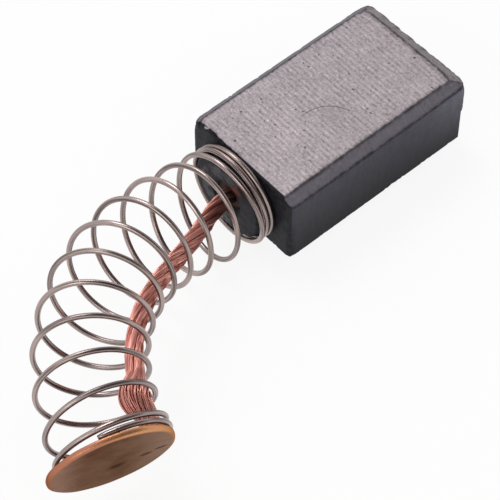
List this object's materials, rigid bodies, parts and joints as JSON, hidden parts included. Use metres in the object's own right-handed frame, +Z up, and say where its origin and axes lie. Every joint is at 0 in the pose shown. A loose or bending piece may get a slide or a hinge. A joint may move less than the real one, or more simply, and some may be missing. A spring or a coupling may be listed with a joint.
{
  "type": "carbon brush with spring and contact cap",
  "caption": "Rectangular carbon brush with a bent compression spring, a twisted copper lead inside it and a round contact cap.",
  "frame": {"origin": "middle of the contact face, on the plane of its crests", "axes": "+X points out of the contact face along the block, +Y across its width, +Z up through its thickness as the brush lies on its wide side"},
  "size_m": [0.0326, 0.0146, 0.0081],
  "materials": {
    "carbon": "matt pressed carbon and graphite, ground on the wide faces",
    "tamped_powder": "dull rammed copper powder",
    "spring_steel": "drawn bright wire, slightly warm",
    "copper_strand": "bare annealed copper wire",
    "cap_metal": "stamped copper alloy, satin with a light tarnish",
    "weld_metal": "fused and dulled"
  },
  "bodies": {
    "root": {"carbon_block": "carbon", "lead_tamping": "tamped_powder", "spring": "spring_steel", "lead_core_strand": "copper_strand", "lead_strand_1": "copper_strand", "lead_strand_2": "copper_strand", "lead_strand_3": "copper_strand", "lead_strand_4": "copper_strand", "lead_strand_5": "copper_strand", "lead_strand_6": "copper_strand", "terminal_cap": "cap_metal", "lead_weld": "weld_metal"}
  },
  "joints": []
}
